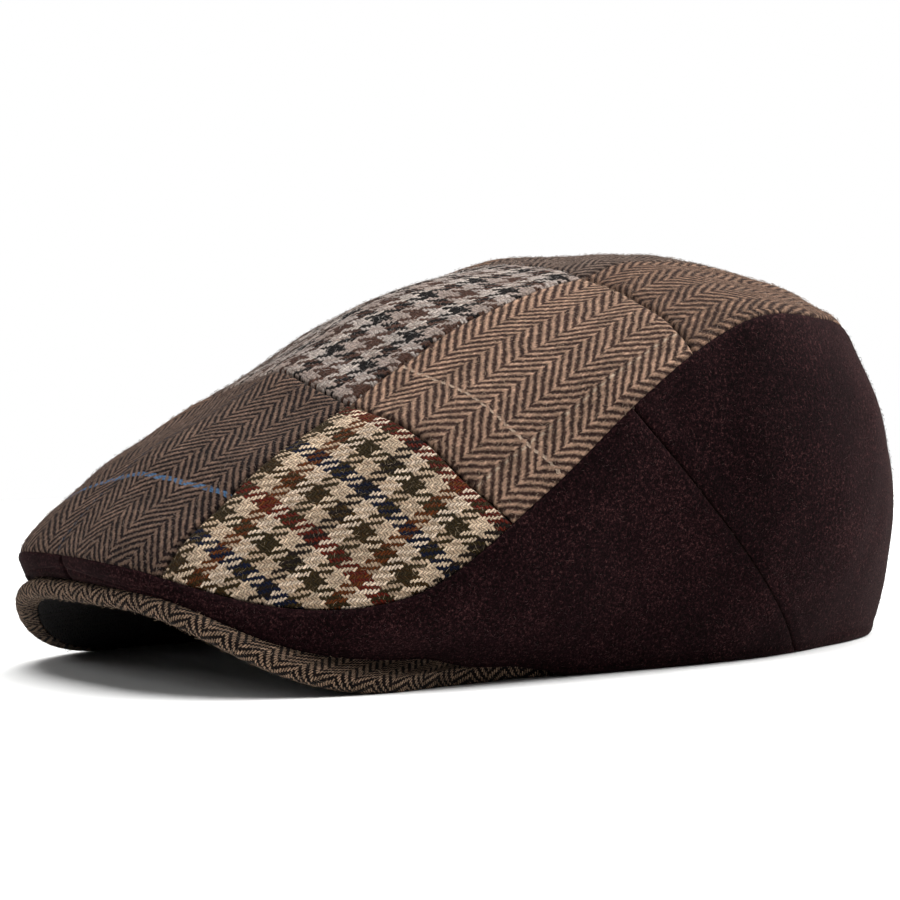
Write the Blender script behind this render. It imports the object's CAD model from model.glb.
"""A patchwork tweed flat cap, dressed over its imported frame.

The crown is one smooth form, cut into nine top patches and four dark sides. Every cloth is drawn
thread by thread from its weave, on coordinates that follow the cloth as it was cut.
"""

import logging
import math
from dataclasses import dataclass, field
from enum import Enum
from typing import NamedTuple

import bmesh
import bpy
import numpy as np
from mathutils import Matrix, Vector


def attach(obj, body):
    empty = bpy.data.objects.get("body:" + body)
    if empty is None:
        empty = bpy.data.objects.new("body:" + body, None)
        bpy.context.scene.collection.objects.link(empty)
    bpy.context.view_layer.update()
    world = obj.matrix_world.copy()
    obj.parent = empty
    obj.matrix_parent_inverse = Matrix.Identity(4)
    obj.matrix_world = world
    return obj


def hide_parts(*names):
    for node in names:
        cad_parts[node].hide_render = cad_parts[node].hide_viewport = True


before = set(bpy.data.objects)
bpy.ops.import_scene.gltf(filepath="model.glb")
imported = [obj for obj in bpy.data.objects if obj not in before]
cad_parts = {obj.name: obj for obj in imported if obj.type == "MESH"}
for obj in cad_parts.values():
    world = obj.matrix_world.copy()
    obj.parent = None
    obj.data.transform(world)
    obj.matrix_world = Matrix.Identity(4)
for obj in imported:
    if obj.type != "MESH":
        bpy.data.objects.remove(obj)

log = logging.getLogger("flat_cap")

MM = 0.001
# How far the lowest cloth stays above the table, in millimetres
CLEAR_OF_TABLE = 0.02
# How a seam's edge swells beside its groove: how much, how far in and how wide, in shares of its radius
SEAM_SWELL, SWELL_PLACE, SWELL_WIDTH = 0.16, 3.2, 1.7
MATH, VECTOR, MIX = "ShaderNodeMath", "ShaderNodeVectorMath", "ShaderNodeMix"
NOISE, MAP_RANGE = "ShaderNodeTexNoise", "ShaderNodeMapRange"
Array = np.ndarray


class Side(Enum):
    """Which side of the wearer a piece is on."""

    LEFT = 1
    MIDDLE = 0
    RIGHT = -1


class Row(Enum):
    """Which row of the patchwork a patch is in."""

    FRONT = "front"
    MID = "mid"
    REAR = "rear"


class Section(NamedTuple):
    """One row of the table of crown sections: a direction in degrees from the back, and shares.

    hem, belly and edge are shares of the reach in that direction, and edge_up, near, half and far
    are shares of the crown's height.
    """

    turn: float
    hem: float
    belly: float
    edge: float
    edge_up: float
    near: float
    half: float
    far: float


SECTIONS = (
    Section(0, 0.889, 0.999, 0.94, 0.795, 1.009, 0.943, 0.865),
    Section(30, 0.97, 1.04, 0.905, 0.775, 1.009, 0.943, 0.87),
    Section(60, 0.811, 0.997, 0.876, 0.852, 1.004, 0.957, 0.904),
    Section(90, 0.778, 0.953, 0.906, 0.857, 0.996, 0.948, 0.904),
    Section(110, 0.775, 0.916, 0.934, 0.683, 0.965, 0.878, 0.783),
    Section(125, 0.767, 0.905, 0.929, 0.461, 0.952, 0.809, 0.635),
    Section(140, 0.825, 0.926, 0.94, 0.243, 0.93, 0.757, 0.543),
    Section(155, 0.965, 0.972, 0.953, 0.222, 0.917, 0.709, 0.504),
    Section(168, 1.0, 1.012, 1.015, 0.313, 0.91, 0.665, 0.487),
    Section(180, 0.975, 0.995, 1.0, 0.33, 0.913, 0.691, 0.522),
)


def linear(hex_colour: str) -> tuple[float, float, float, float]:
    """Turns an sRGB hex colour into linear values.

    Args:
        hex_colour: six hexadecimal digits after a hash sign.

    Returns:
        Red, green, blue and alpha, linear.
    """
    parts = [int(hex_colour[i : i + 2], 16) / 255 for i in (1, 3, 5)]
    curve = [p / 12.92 if p <= 0.04045 else ((p + 0.055) / 1.055) ** 2.4 for p in parts]
    return (*curve, 1.0)


def blend_curve(x0: Array, x1: Array, y0: Array, y1: Array, m0: Array, m1: Array, x: Array) -> Array:
    """Follows a smooth curve between two points.

    Args:
        x0: where it starts.
        x1: where it ends.
        y0: its height at the start.
        y1: its height at the end.
        m0: its slope at the start.
        m1: its slope at the end.
        x: where to read it.

    Returns:
        The curve's height at x.
    """
    span = x1 - x0
    s = (x - x0) / span
    rise = y0 * (2 * s**3 - 3 * s**2 + 1) + m0 * span * (s**3 - 2 * s**2 + s)
    return rise + y1 * (3 * s**2 - 2 * s**3) + m1 * span * (s**3 - s**2)


def middle_slope(x: list, y: list, i: int) -> Array:
    """Gives the slope at a point of a curve through unevenly spaced points.

    Args:
        x: the points' places.
        y: their heights.
        i: which point.

    Returns:
        The slope there.
    """
    before = (y[i] - y[i - 1]) / (x[i] - x[i - 1])
    after = (y[i + 1] - y[i]) / (x[i + 1] - x[i])
    share = (x[i] - x[i - 1]) / (x[i + 1] - x[i - 1])
    return before * (1 - share) + after * share


def smooth_step(low: float, high: float, x: Array) -> Array:
    """Rises smoothly from 0 to 1.

    Args:
        low: where it is 0.
        high: where it is 1.
        x: where to read it.

    Returns:
        The height at x.
    """
    s = np.clip((x - low) / (high - low), 0, 1)
    return s * s * (3 - 2 * s)


def graded(count: int, gather: float = 0.75) -> Array:
    """Gives shares from 0 to 1 that lie closer together near both ends.

    Args:
        count: how many steps.
        gather: how strongly they gather, from 0 to 1.

    Returns:
        count + 1 shares.
    """
    x = np.linspace(0, 1, count + 1)
    return (1 - gather) * x + gather * (1 - np.cos(math.pi * x)) / 2


@dataclass
class PeakForm:
    """The arched peak's upper side, in millimetres.

    corner, shoulder and foot are powers that say how square its plan is and how its arch rises.
    end_taper and end_run draw the ends in and back, end_thinning and tip_blend make them thinner,
    and camber lifts the inner edge beside the crown. The pairs of shares say where each of these
    begins and is complete, from the middle, 0, to an end, 1.
    """

    front: float = 170.0
    half_width: float = 86.0
    end_back: float = 66.0
    opening_front: float = 122.0
    opening_inset: float = 8.0
    arch: float = 26.0
    shoulder: float = 4.4
    far_shoulder: float = 3.2
    foot: float = 2.4
    corner: float = 2.7
    slope: float = 0.05
    depth: float = 3.9
    roll_depth: float = 5.6
    end_share: float = 0.995
    end_taper: float = 8.0
    end_run: float = 16.0
    end_thinning: float = 0.6
    camber: float = 4.4
    camber_fade: float = 0.85
    camber_in: tuple[float, float] = (0.6, 0.93)
    camber_out: tuple[float, float] = (0.95, 1.0)
    taper_in: tuple[float, float] = (0.78, 1.0)
    run_in: tuple[float, float] = (0.93, 1.0)
    tip_blend: tuple[float, float] = (-3.0, 12.0)
    centre_blend: float = 20.0
    centre_y: float = 39.5

    def half_at(self, across: Array) -> Array:
        """Gives half the width of a line round the peak.

        Args:
            across: from the inner edge, 0, to the outer edge, 1.

        Returns:
            Half the width.
        """
        return self.half_width - self.opening_inset * (1 - across)

    def reach_at(self, across: Array) -> Array:
        """Gives how far a line round the peak reaches ahead of its ends.

        Args:
            across: from the inner edge, 0, to the outer edge, 1.

        Returns:
            The reach.
        """
        inner, outer = self.opening_front - self.end_back, self.front - self.end_back
        return inner * (1 - across) + outer * across

    def ruling_at(self, x: Array, y: Array) -> tuple[Array, Array]:
        """Finds the line across the peak that a place lies on.

        Args:
            x: the place's X.
            y: its Y.

        Returns:
            The line's share of the half width, and how far across the peak the place lies.
        """
        end_y = self.centre_y - self.end_back
        sideways, ahead = np.abs(x), np.maximum(end_y - y, 1e-3)
        low, high = np.full_like(sideways, -0.9), np.full_like(sideways, 2.0)
        for _ in range(26):
            across = (low + high) / 2
            half = self.half_at(across)
            outside = (sideways / half) ** self.corner + (ahead / self.reach_at(across)) ** self.corner > 1
            low = np.where(outside, across, low)
            high = np.where(outside, high, across)
        return np.clip(sideways / half, 0, 1), np.clip(across, 0, 1)

    def top_at(self, x: Array, y: Array) -> Array:
        """Gives the height of the peak's upper side at a place.

        Args:
            x: the place's X.
            y: its Y.

        Returns:
            The height: arched along the peak, and a little lower at its outer edge near its ends.
        """
        x, y = np.broadcast_arrays(np.asarray(x, float), np.asarray(y, float))
        share, across = self.ruling_at(x, y)
        left = smooth_step(-self.centre_blend, self.centre_blend, x)
        shoulder = self.far_shoulder + (self.shoulder - self.far_shoulder) * left
        arch = (1 - share**shoulder) ** self.foot
        end_y = self.centre_y - self.end_back
        near, past = self.tip_blend
        depth = self.depth * (1 - self.end_thinning * smooth_step(end_y + near, end_y + past, y))
        fading = 1 - self.camber_fade * smooth_step(*self.camber_out, share)
        camber = self.camber * smooth_step(*self.camber_in, share) * fading
        rise = self.arch + self.slope * (y - self.centre_y + self.front)
        return depth + arch * rise + camber * (1 - across)

    def plan(self, along: Array, across: Array) -> tuple[Array, Array]:
        """Gives the place seen from above.

        Args:
            along: from one end round to the other, -1 to 1.
            across: from the inner edge, 0, to the outer edge, 1.

        Returns:
            X and Y.
        """
        angle = along * math.pi / 2
        power = 2 / self.corner
        sine = np.sign(angle) * np.abs(np.sin(angle)) ** power
        cosine = np.cos(angle) ** power
        end_y = self.centre_y - self.end_back
        taper = (1 + across) / 2 * self.end_taper * smooth_step(*self.taper_in, np.abs(along))
        end_y = end_y + self.end_run * smooth_step(*self.run_in, np.abs(along))
        return (self.half_at(across) - taper) * sine, end_y - self.reach_at(across) * cosine

    def normal_at(self, x: Array, y: Array) -> Array:
        """Gives the direction out of the upper side at a place.

        Args:
            x: the place's X.
            y: its Y.

        Returns:
            Directions of length 1.
        """
        step = 0.2
        rise_x = (self.top_at(x + step, y) - self.top_at(x - step, y)) / (2 * step)
        rise_y = (self.top_at(x, y + step) - self.top_at(x, y - step)) / (2 * step)
        out = np.stack([-rise_x, -rise_y, np.ones_like(rise_x)], -1)
        return out / np.linalg.norm(out, axis=-1, keepdims=True)


@dataclass
class CrownForm:
    """The crown's outer surface in millimetres, worked out from the table of sections.

    stations are the shares of the way out at which the sections give the top's near, half and far
    heights. edge_drop says how much more steeply the top falls at its edge. foot_blend is the way
    over which the lower edge climbs from the table onto the peak, and foot_press how deep it is
    pressed into the peak's cloth.
    """

    reach: float = 170.0
    height: float = 115.0
    width_reach: float = 106.0
    back_reach: float = 91.0
    centre_y: float = 39.5
    middle_half_width: float = 31.5
    column_flare: float = 0.073
    front_seam_back: float = 73.0
    middle_row_depth: float = 86.0
    front_seam_bow: float = 29.0
    rear_seam_bow: float = -6.0
    side_seam_top: float = -40.0
    side_seam_foot: float = 32.0
    side_seam_height: float = 80.0
    side_seam_bow: float = 1.0
    stations: tuple[float, float, float] = (0.35, 0.65, 0.87)
    edge_drop: float = 1.6
    foot_blend: float = 7.0
    foot_press: float = 0.2
    seam_turns: tuple[float, float] = (40.0, 150.0)
    peak: PeakForm = field(default_factory=PeakForm)

    def reach_at(self, turn: Array) -> Array:
        """Gives the crown's reach in a direction, in degrees from the back.

        Args:
            turn: in degrees from the back.

        Returns:
            The reach.
        """
        cosine = np.cos(np.radians(turn))
        length = np.where(cosine > 0, self.back_reach, self.reach)
        return length * cosine**2 + self.width_reach * (1 - cosine**2)

    def column(self, name: str, turn: Array) -> Array:
        """Reads one column of the table of sections at any direction.

        Args:
            name: the column.
            turn: in degrees from the back.

        Returns:
            The column's value there.
        """
        turn = np.abs((np.asarray(turn, float) + 180) % 360 - 180)
        places = [row.turn for row in SECTIONS]
        values = [getattr(row, name) for row in SECTIONS]
        last = len(places) - 1
        slopes = [0.0] + [middle_slope(places, values, i) for i in range(1, last)] + [0.0]
        x, y, m = np.array(places), np.array(values), np.array(slopes)
        i = np.clip(np.searchsorted(x, turn, side="right") - 1, 0, last - 1)
        return blend_curve(x[i], x[i + 1], y[i], y[i + 1], m[i], m[i + 1], turn)

    def edge_at(self, turn: Array) -> Array:
        """Gives the distance out to the edge of the top.

        Args:
            turn: in degrees from the back.

        Returns:
            The distance.
        """
        return self.reach_at(turn) * self.column("edge", turn)

    def place(self, turn: Array, distance: Array, up: Array) -> Array:
        """Gives the point at a distance and height in a direction.

        Args:
            turn: the direction, in degrees from the back.
            distance: out from the crown's centre.
            up: the height.

        Returns:
            Points.
        """
        angle = np.radians(turn)
        return np.stack([distance * np.sin(angle), self.centre_y + distance * np.cos(angle), up], -1)

    def foot_at(self, x: Array, y: Array) -> Array:
        """Gives the height of the sides' lower edge: on the table, or on top of the peak.

        Args:
            x: the place's X.
            y: its Y.

        Returns:
            The height.
        """
        end_y = self.centre_y - self.peak.end_back + self.peak.end_run
        over = smooth_step(0, self.foot_blend, end_y - y)
        return over * np.maximum(self.peak.top_at(x, y) - self.foot_press, 0)

    def side_point(self, turn: Array, share: Array) -> Array:
        """Gives a point of the sides.

        Args:
            turn: its direction, in degrees from the back.
            share: from the lower edge, 0, to the edge of the top, 1.

        Returns:
            Points.
        """
        reach = self.reach_at(turn)
        hem = reach * self.column("hem", turn)
        belly = reach * self.column("belly", turn)
        edge = reach * self.column("edge", turn)
        foot = self.place(turn, hem, hem * 0)
        low = self.foot_at(foot[..., 0], foot[..., 1])
        s = share
        out = hem * (1 - s) * (1 - 2 * s) + belly * 4 * s * (1 - s) + edge * s * (2 * s - 1)
        up = low * (1 - s) + self.height * self.column("edge_up", turn) * s
        return self.place(turn, out, up)

    def top_height(self, x: Array, y: Array) -> Array:
        """Gives the height of the top over a place.

        Args:
            x: the place's X.
            y: its Y.

        Returns:
            The height.
        """
        turn = np.degrees(np.arctan2(x, y - self.centre_y))
        q = np.hypot(x, y - self.centre_y) / self.edge_at(turn)
        near, half, far, edge_up = (
            self.height * self.column(name, turn) for name in ("near", "half", "far", "edge_up")
        )
        places = [-self.stations[0], 0.0, *self.stations, 1.0]
        heights = [near, self.height + 0 * near, near, half, far, edge_up]
        slopes = [0 * near] + [middle_slope(places, heights, k) for k in (2, 3, 4)]
        slopes.append(self.edge_drop * (edge_up - far) / (1 - self.stations[2]))
        result = np.zeros_like(q)
        for k in range(4):
            inside = (q >= places[k + 1]) & ((q < places[k + 2]) | (k == 3))
            ends = (*places[k + 1 : k + 3], *heights[k + 1 : k + 3], *slopes[k : k + 2])
            value = blend_curve(*ends, q)
            result = np.where(inside, value, result)
        return result

    def column_edge(self, y: Array) -> Array:
        """Gives the X of the lengthwise seam at a Y.

        Args:
            y: where along the seam.

        Returns:
            X.
        """
        return self.middle_half_width + self.column_flare * (self.centre_y - y)

    def row_edge(self, row: Row, x: Array) -> Array:
        """Gives the Y of the cross seam behind a row.

        Args:
            row: the front row or the middle row.
            x: where along the seam.

        Returns:
            Y.
        """
        share = (np.abs(x) / self.width_reach) ** 3
        front = self.centre_y - self.reach + self.front_seam_back
        if row is Row.FRONT:
            return front + self.front_seam_bow * share
        return front + self.middle_row_depth + self.rear_seam_bow * share

    def side_seam_turn(self, share: Array) -> Array:
        """Gives the direction of the slanted side seam at each share of the side's height.

        Args:
            share: the shares, 0 to 1.

        Returns:
            Directions, in degrees from the back.
        """
        low, high = (np.full_like(share, turn) for turn in self.seam_turns)
        for _ in range(40):
            turn = (low + high) / 2
            point = self.side_point(turn, share)
            up = point[..., 2] / self.side_seam_height
            back = self.side_seam_foot + (self.side_seam_top - self.side_seam_foot) * up
            seam_y = self.centre_y + back - self.side_seam_bow * 4 * up * (1 - up)
            ahead = point[..., 1] < seam_y
            high = np.where(ahead, turn, high)
            low = np.where(ahead, low, turn)
        return (low + high) / 2


class Undulation:
    """The cloth's gentle unevenness: the same slow waves at a place, whichever piece it is on."""

    seed = 7
    count = 26
    length_range = (16, 62)
    steepness = 0.0024

    def __init__(self) -> None:
        """Draws the waves from a fixed seed."""
        source, count = np.random.default_rng(self.seed), self.count
        lengths = source.uniform(*self.length_range, count)
        aims = source.normal(size=(count, 3))
        aims /= np.linalg.norm(aims, axis=1, keepdims=True)
        self.waves = aims * (2 * math.pi / lengths)[:, None]
        self.phases = source.uniform(0, 2 * math.pi, count)
        self.sizes = self.steepness * lengths

    def at(self, points: Array) -> Array:
        """Gives how far the cloth stands out at each point, in millimetres.

        Args:
            points: any array of points.

        Returns:
            One distance for each point.
        """
        total = np.zeros(points.shape[:-1])
        for wave, phase, size in zip(self.waves, self.phases, self.sizes):
            total += size * np.sin(points @ wave + phase)
        return total


def rolled_seam(distance: Array, radius: float) -> Array:
    """Gives how far the cloth turns under beside a seam, as a rounded edge.

    Args:
        distance: from the seam, in millimetres.
        radius: of the rounding.

    Returns:
        A negative offset along the outward direction, and a slight swell further in.
    """
    d = np.clip(distance, 0, radius)
    under = radius - np.sqrt(np.maximum(radius**2 - (radius - d) ** 2, 0))
    from_swell = (distance - SWELL_PLACE * radius) / (SWELL_WIDTH * radius)
    return -under + SEAM_SWELL * radius * np.exp(-(from_swell**2))


def grid_normals(points: Array) -> Array:
    """Gives the outward direction at each point of a grid of points.

    Args:
        points: rows and columns of points.

    Returns:
        Directions of length 1.
    """
    along = np.gradient(points, axis=0)
    across = np.gradient(points, axis=1)
    out = np.cross(across, along)
    size = np.linalg.norm(out, axis=-1, keepdims=True)
    return out / np.maximum(size, 1e-9)


def arc_lengths(points: Array, axis: int) -> Array:
    """Gives the length along the lines of a grid of points, from their start.

    Args:
        points: rows and columns of points.
        axis: 0 along the columns, 1 along the rows.

    Returns:
        One length for each point.
    """
    steps = np.linalg.norm(np.diff(points, axis=axis), axis=-1)
    start = np.zeros_like(np.take(steps, [0], axis=axis))
    return np.concatenate([start, np.cumsum(steps, axis=axis)], axis=axis)


def border_distance(points: Array) -> Array:
    """Gives each grid point's distance from the nearest edge of its piece, in millimetres.

    Args:
        points: rows and columns of points.

    Returns:
        One distance for each point.
    """
    down, right = arc_lengths(points, 0), arc_lengths(points, 1)
    both = [down, down[-1:] - down, right, right[:, -1:] - right]
    return np.minimum.reduce(both)


def settle_cloth(points: Array, flat: Array, rounds: int = 24, haste: float = 1.2) -> Array:
    """Lets a flat drawing of a grid of points settle until its lengths fit the cloth's.

    Args:
        points: the grid on the cap.
        flat: a first flat drawing of it.
        rounds: how many times each length is eased.
        haste: how much further than halfway each easing goes.

    Returns:
        The settled drawing.
    """
    pairs = [((0, 1), (0, 0)), ((0, 0), (0, 1)), ((0, 1), (0, 1)), ((0, 1), (1, 0))]
    rows, columns = flat.shape[:2]
    flat = flat.copy()

    def cut(grid: Array, down: tuple, right: tuple) -> tuple[Array, Array]:
        """Gives the two ends of every length of one kind, down and to the right as told."""
        first = grid[down[0] : rows - down[1], right[0] : columns - right[1]]
        second = grid[down[1] : rows - down[0], right[1] : columns - right[0]]
        return first, second

    lengths = []
    for down, right in pairs:
        first, second = cut(points, down, right)
        lengths.append(np.linalg.norm(second - first, axis=-1))
    for _ in range(rounds):
        push = np.zeros_like(flat)
        count = np.full((rows, columns, 1), 1e-6)
        for (down, right), length in zip(pairs, lengths):
            first, second = cut(flat, down, right)
            gap = second - first
            size = np.maximum(np.linalg.norm(gap, axis=-1), 1e-6)
            ease = gap * (0.5 * (size - length) / size)[..., None]
            cut(push, down, right)[0][...] += ease
            cut(push, down, right)[1][...] -= ease
            cut(count, down, right)[0][...] += 1
            cut(count, down, right)[1][...] += 1
        flat += haste * push / count
    return flat


def grid_quads(rows: int, columns: int) -> Array:
    """Gives the four corners of each cell of a grid of points.

    Args:
        rows: how many rows of points.
        columns: how many columns.

    Returns:
        Rows and columns of cells, with the numbers of four points in each.
    """
    index = np.arange(rows * columns).reshape(rows, columns)
    return np.stack([index[:-1, :-1], index[:-1, 1:], index[1:, 1:], index[1:, :-1]], -1)


def keep_above(points: Array, height: float) -> None:
    """Lifts the points that lie lower than a height onto it.

    Args:
        points: a grid of points, changed in place.
        height: the height, in millimetres.
    """
    points[..., 2] = np.maximum(points[..., 2], height)


def dress(piece: bpy.types.Object, slot: str, node: str, *materials: bpy.types.Material) -> None:
    """Gives a piece its materials, and its place in the frame.

    Args:
        piece: the piece.
        slot: its material slot in the record.
        node: the CAD node that it replaces.
        materials: the cloth's material, and that of its loose fibres where it has some.
    """
    for material in materials:
        piece.data.materials.append(material)
    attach(piece, "root")
    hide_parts(node)
    log.info("%s: %d faces", piece.name, len(piece.data.polygons))


def shell_object(name: str, outer: Array, inner: Array, flat: Array) -> bpy.types.Object:
    """Makes a closed cloth wall from a grid of outer points and a grid of inner points.

    Args:
        name: the piece's name.
        outer: rows and columns of points in millimetres.
        inner: the same, behind them.
        flat: the cloth coordinates of the points, in millimetres.

    Returns:
        The object, at the origin.
    """
    rows, columns = outer.shape[:2]
    total = rows * columns
    index = np.arange(total).reshape(rows, columns)
    quads = grid_quads(rows, columns).reshape(-1, 4)
    faces = [*quads.tolist(), *(quads[:, ::-1] + total).tolist()]
    ring = [*index[0], *index[1:, -1], *index[-1, -2::-1], *index[-2:0:-1, 0]]
    for a, b in zip(ring, ring[1:] + ring[:1]):
        faces.append([int(b), int(a), int(a) + total, int(b) + total])
    points = np.concatenate([outer.reshape(-1, 3), inner.reshape(-1, 3)]) * MM
    mesh = bpy.data.meshes.new(name)
    mesh.from_pydata(points.tolist(), [], faces)
    cloth = mesh.uv_layers.new(name="cloth")
    places = np.concatenate([flat.reshape(-1, 2)] * 2)
    corner = np.zeros(len(mesh.loops), dtype=np.int32)
    mesh.loops.foreach_get("vertex_index", corner)
    cloth.data.foreach_set("uv", places[corner].astype(np.float32).ravel())
    mesh.polygons.foreach_set("use_smooth", [True] * len(mesh.polygons))
    mesh.validate()
    obj = bpy.data.objects.new(name, mesh)
    bpy.context.scene.collection.objects.link(obj)
    close_and_face_out(obj)
    return obj


def close_and_face_out(obj: bpy.types.Object) -> None:
    """Merges doubled points and turns every face of a closed body outwards.

    Args:
        obj: the body, changed in place.
    """
    work = bmesh.new()
    work.from_mesh(obj.data)
    bmesh.ops.remove_doubles(work, verts=work.verts, dist=1e-6)
    bmesh.ops.dissolve_degenerate(work, dist=1e-7, edges=work.edges)
    if work.calc_volume(signed=True) < 0:
        bmesh.ops.reverse_faces(work, faces=work.faces)
    work.to_mesh(obj.data)
    work.free()


def add(tree: bpy.types.NodeTree, kind: str, *inputs: object, out: int = 0, **settings: object):
    """Adds a node with its settings and links.

    Args:
        tree: the node tree.
        kind: the node's type name.
        inputs: one for each input socket in order; an output to link, a value, or None to leave it.
        out: which output to return.
        settings: the node's own properties.

    Returns:
        The chosen output socket.
    """
    node = tree.nodes.new(kind)
    for name, value in settings.items():
        setattr(node, name, value)
    for socket, value in zip(node.inputs, inputs):
        if isinstance(value, bpy.types.NodeSocket):
            tree.links.new(value, socket)
        elif value is not None:
            socket.default_value = value
    return node.outputs[out] if len(node.outputs) else node


def new_material(name: str) -> tuple[bpy.types.Material, bpy.types.NodeTree]:
    """Makes a material with no nodes in it yet.

    Args:
        name: what the real material is called.

    Returns:
        The material and its tree of nodes.
    """
    made = bpy.data.materials.new(name)
    made.use_nodes = True
    made.node_tree.nodes.clear()
    return made, made.node_tree


@dataclass(frozen=True)
class Surface:
    """How matt a cloth or a fibre is, as the shader's own values."""

    roughness: float
    specular: float
    sheen: float = 0.0
    sheen_roughness: float = 0.5
    sheen_tint: str = "#ffffff"

    def finish(self, tree: bpy.types.NodeTree, colour: object, bump: object = None) -> None:
        """Ends a material in this surface.

        Args:
            tree: the material's nodes.
            colour: the output that gives its colour.
            bump: the output that gives its normal, or None.
        """
        shader = add(tree, "ShaderNodeBsdfPrincipled").node
        tree.links.new(colour, shader.inputs["Base Color"])
        if bump is not None:
            tree.links.new(bump, shader.inputs["Normal"])
        shader.inputs["Roughness"].default_value = self.roughness
        shader.inputs["Specular IOR Level"].default_value = self.specular
        shader.inputs["Sheen Weight"].default_value = self.sheen
        shader.inputs["Sheen Roughness"].default_value = self.sheen_roughness
        shader.inputs["Sheen Tint"].default_value = linear(self.sheen_tint)
        add(tree, "ShaderNodeOutputMaterial", shader.outputs[0])


# Carded wool yarn scatters light in its hairs: no gloss, and only a trace of sheen at the rim.
YARN_SURFACE = Surface(0.95, 0.06, sheen=0.03)
# Felted wool is matter still, with a faint warm bloom where it turns away.
FELT_SURFACE = Surface(1.0, 0.05, sheen=0.05, sheen_roughness=0.35, sheen_tint="#c48f88")
# A single wool fibre has smooth scales, so it glints a little more than the cloth.
FIBRE_SURFACE = Surface(0.9, 0.1)


@dataclass(frozen=True)
class Overcheck:
    """A coloured thread, or a few, that crosses the cloth at one place.

    slant says how far it strays to the side for each millimetre along it.
    """

    colour: str
    place_mm: float
    threads: float = 1
    lengthwise: bool = True
    slant: float = 0.0


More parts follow.
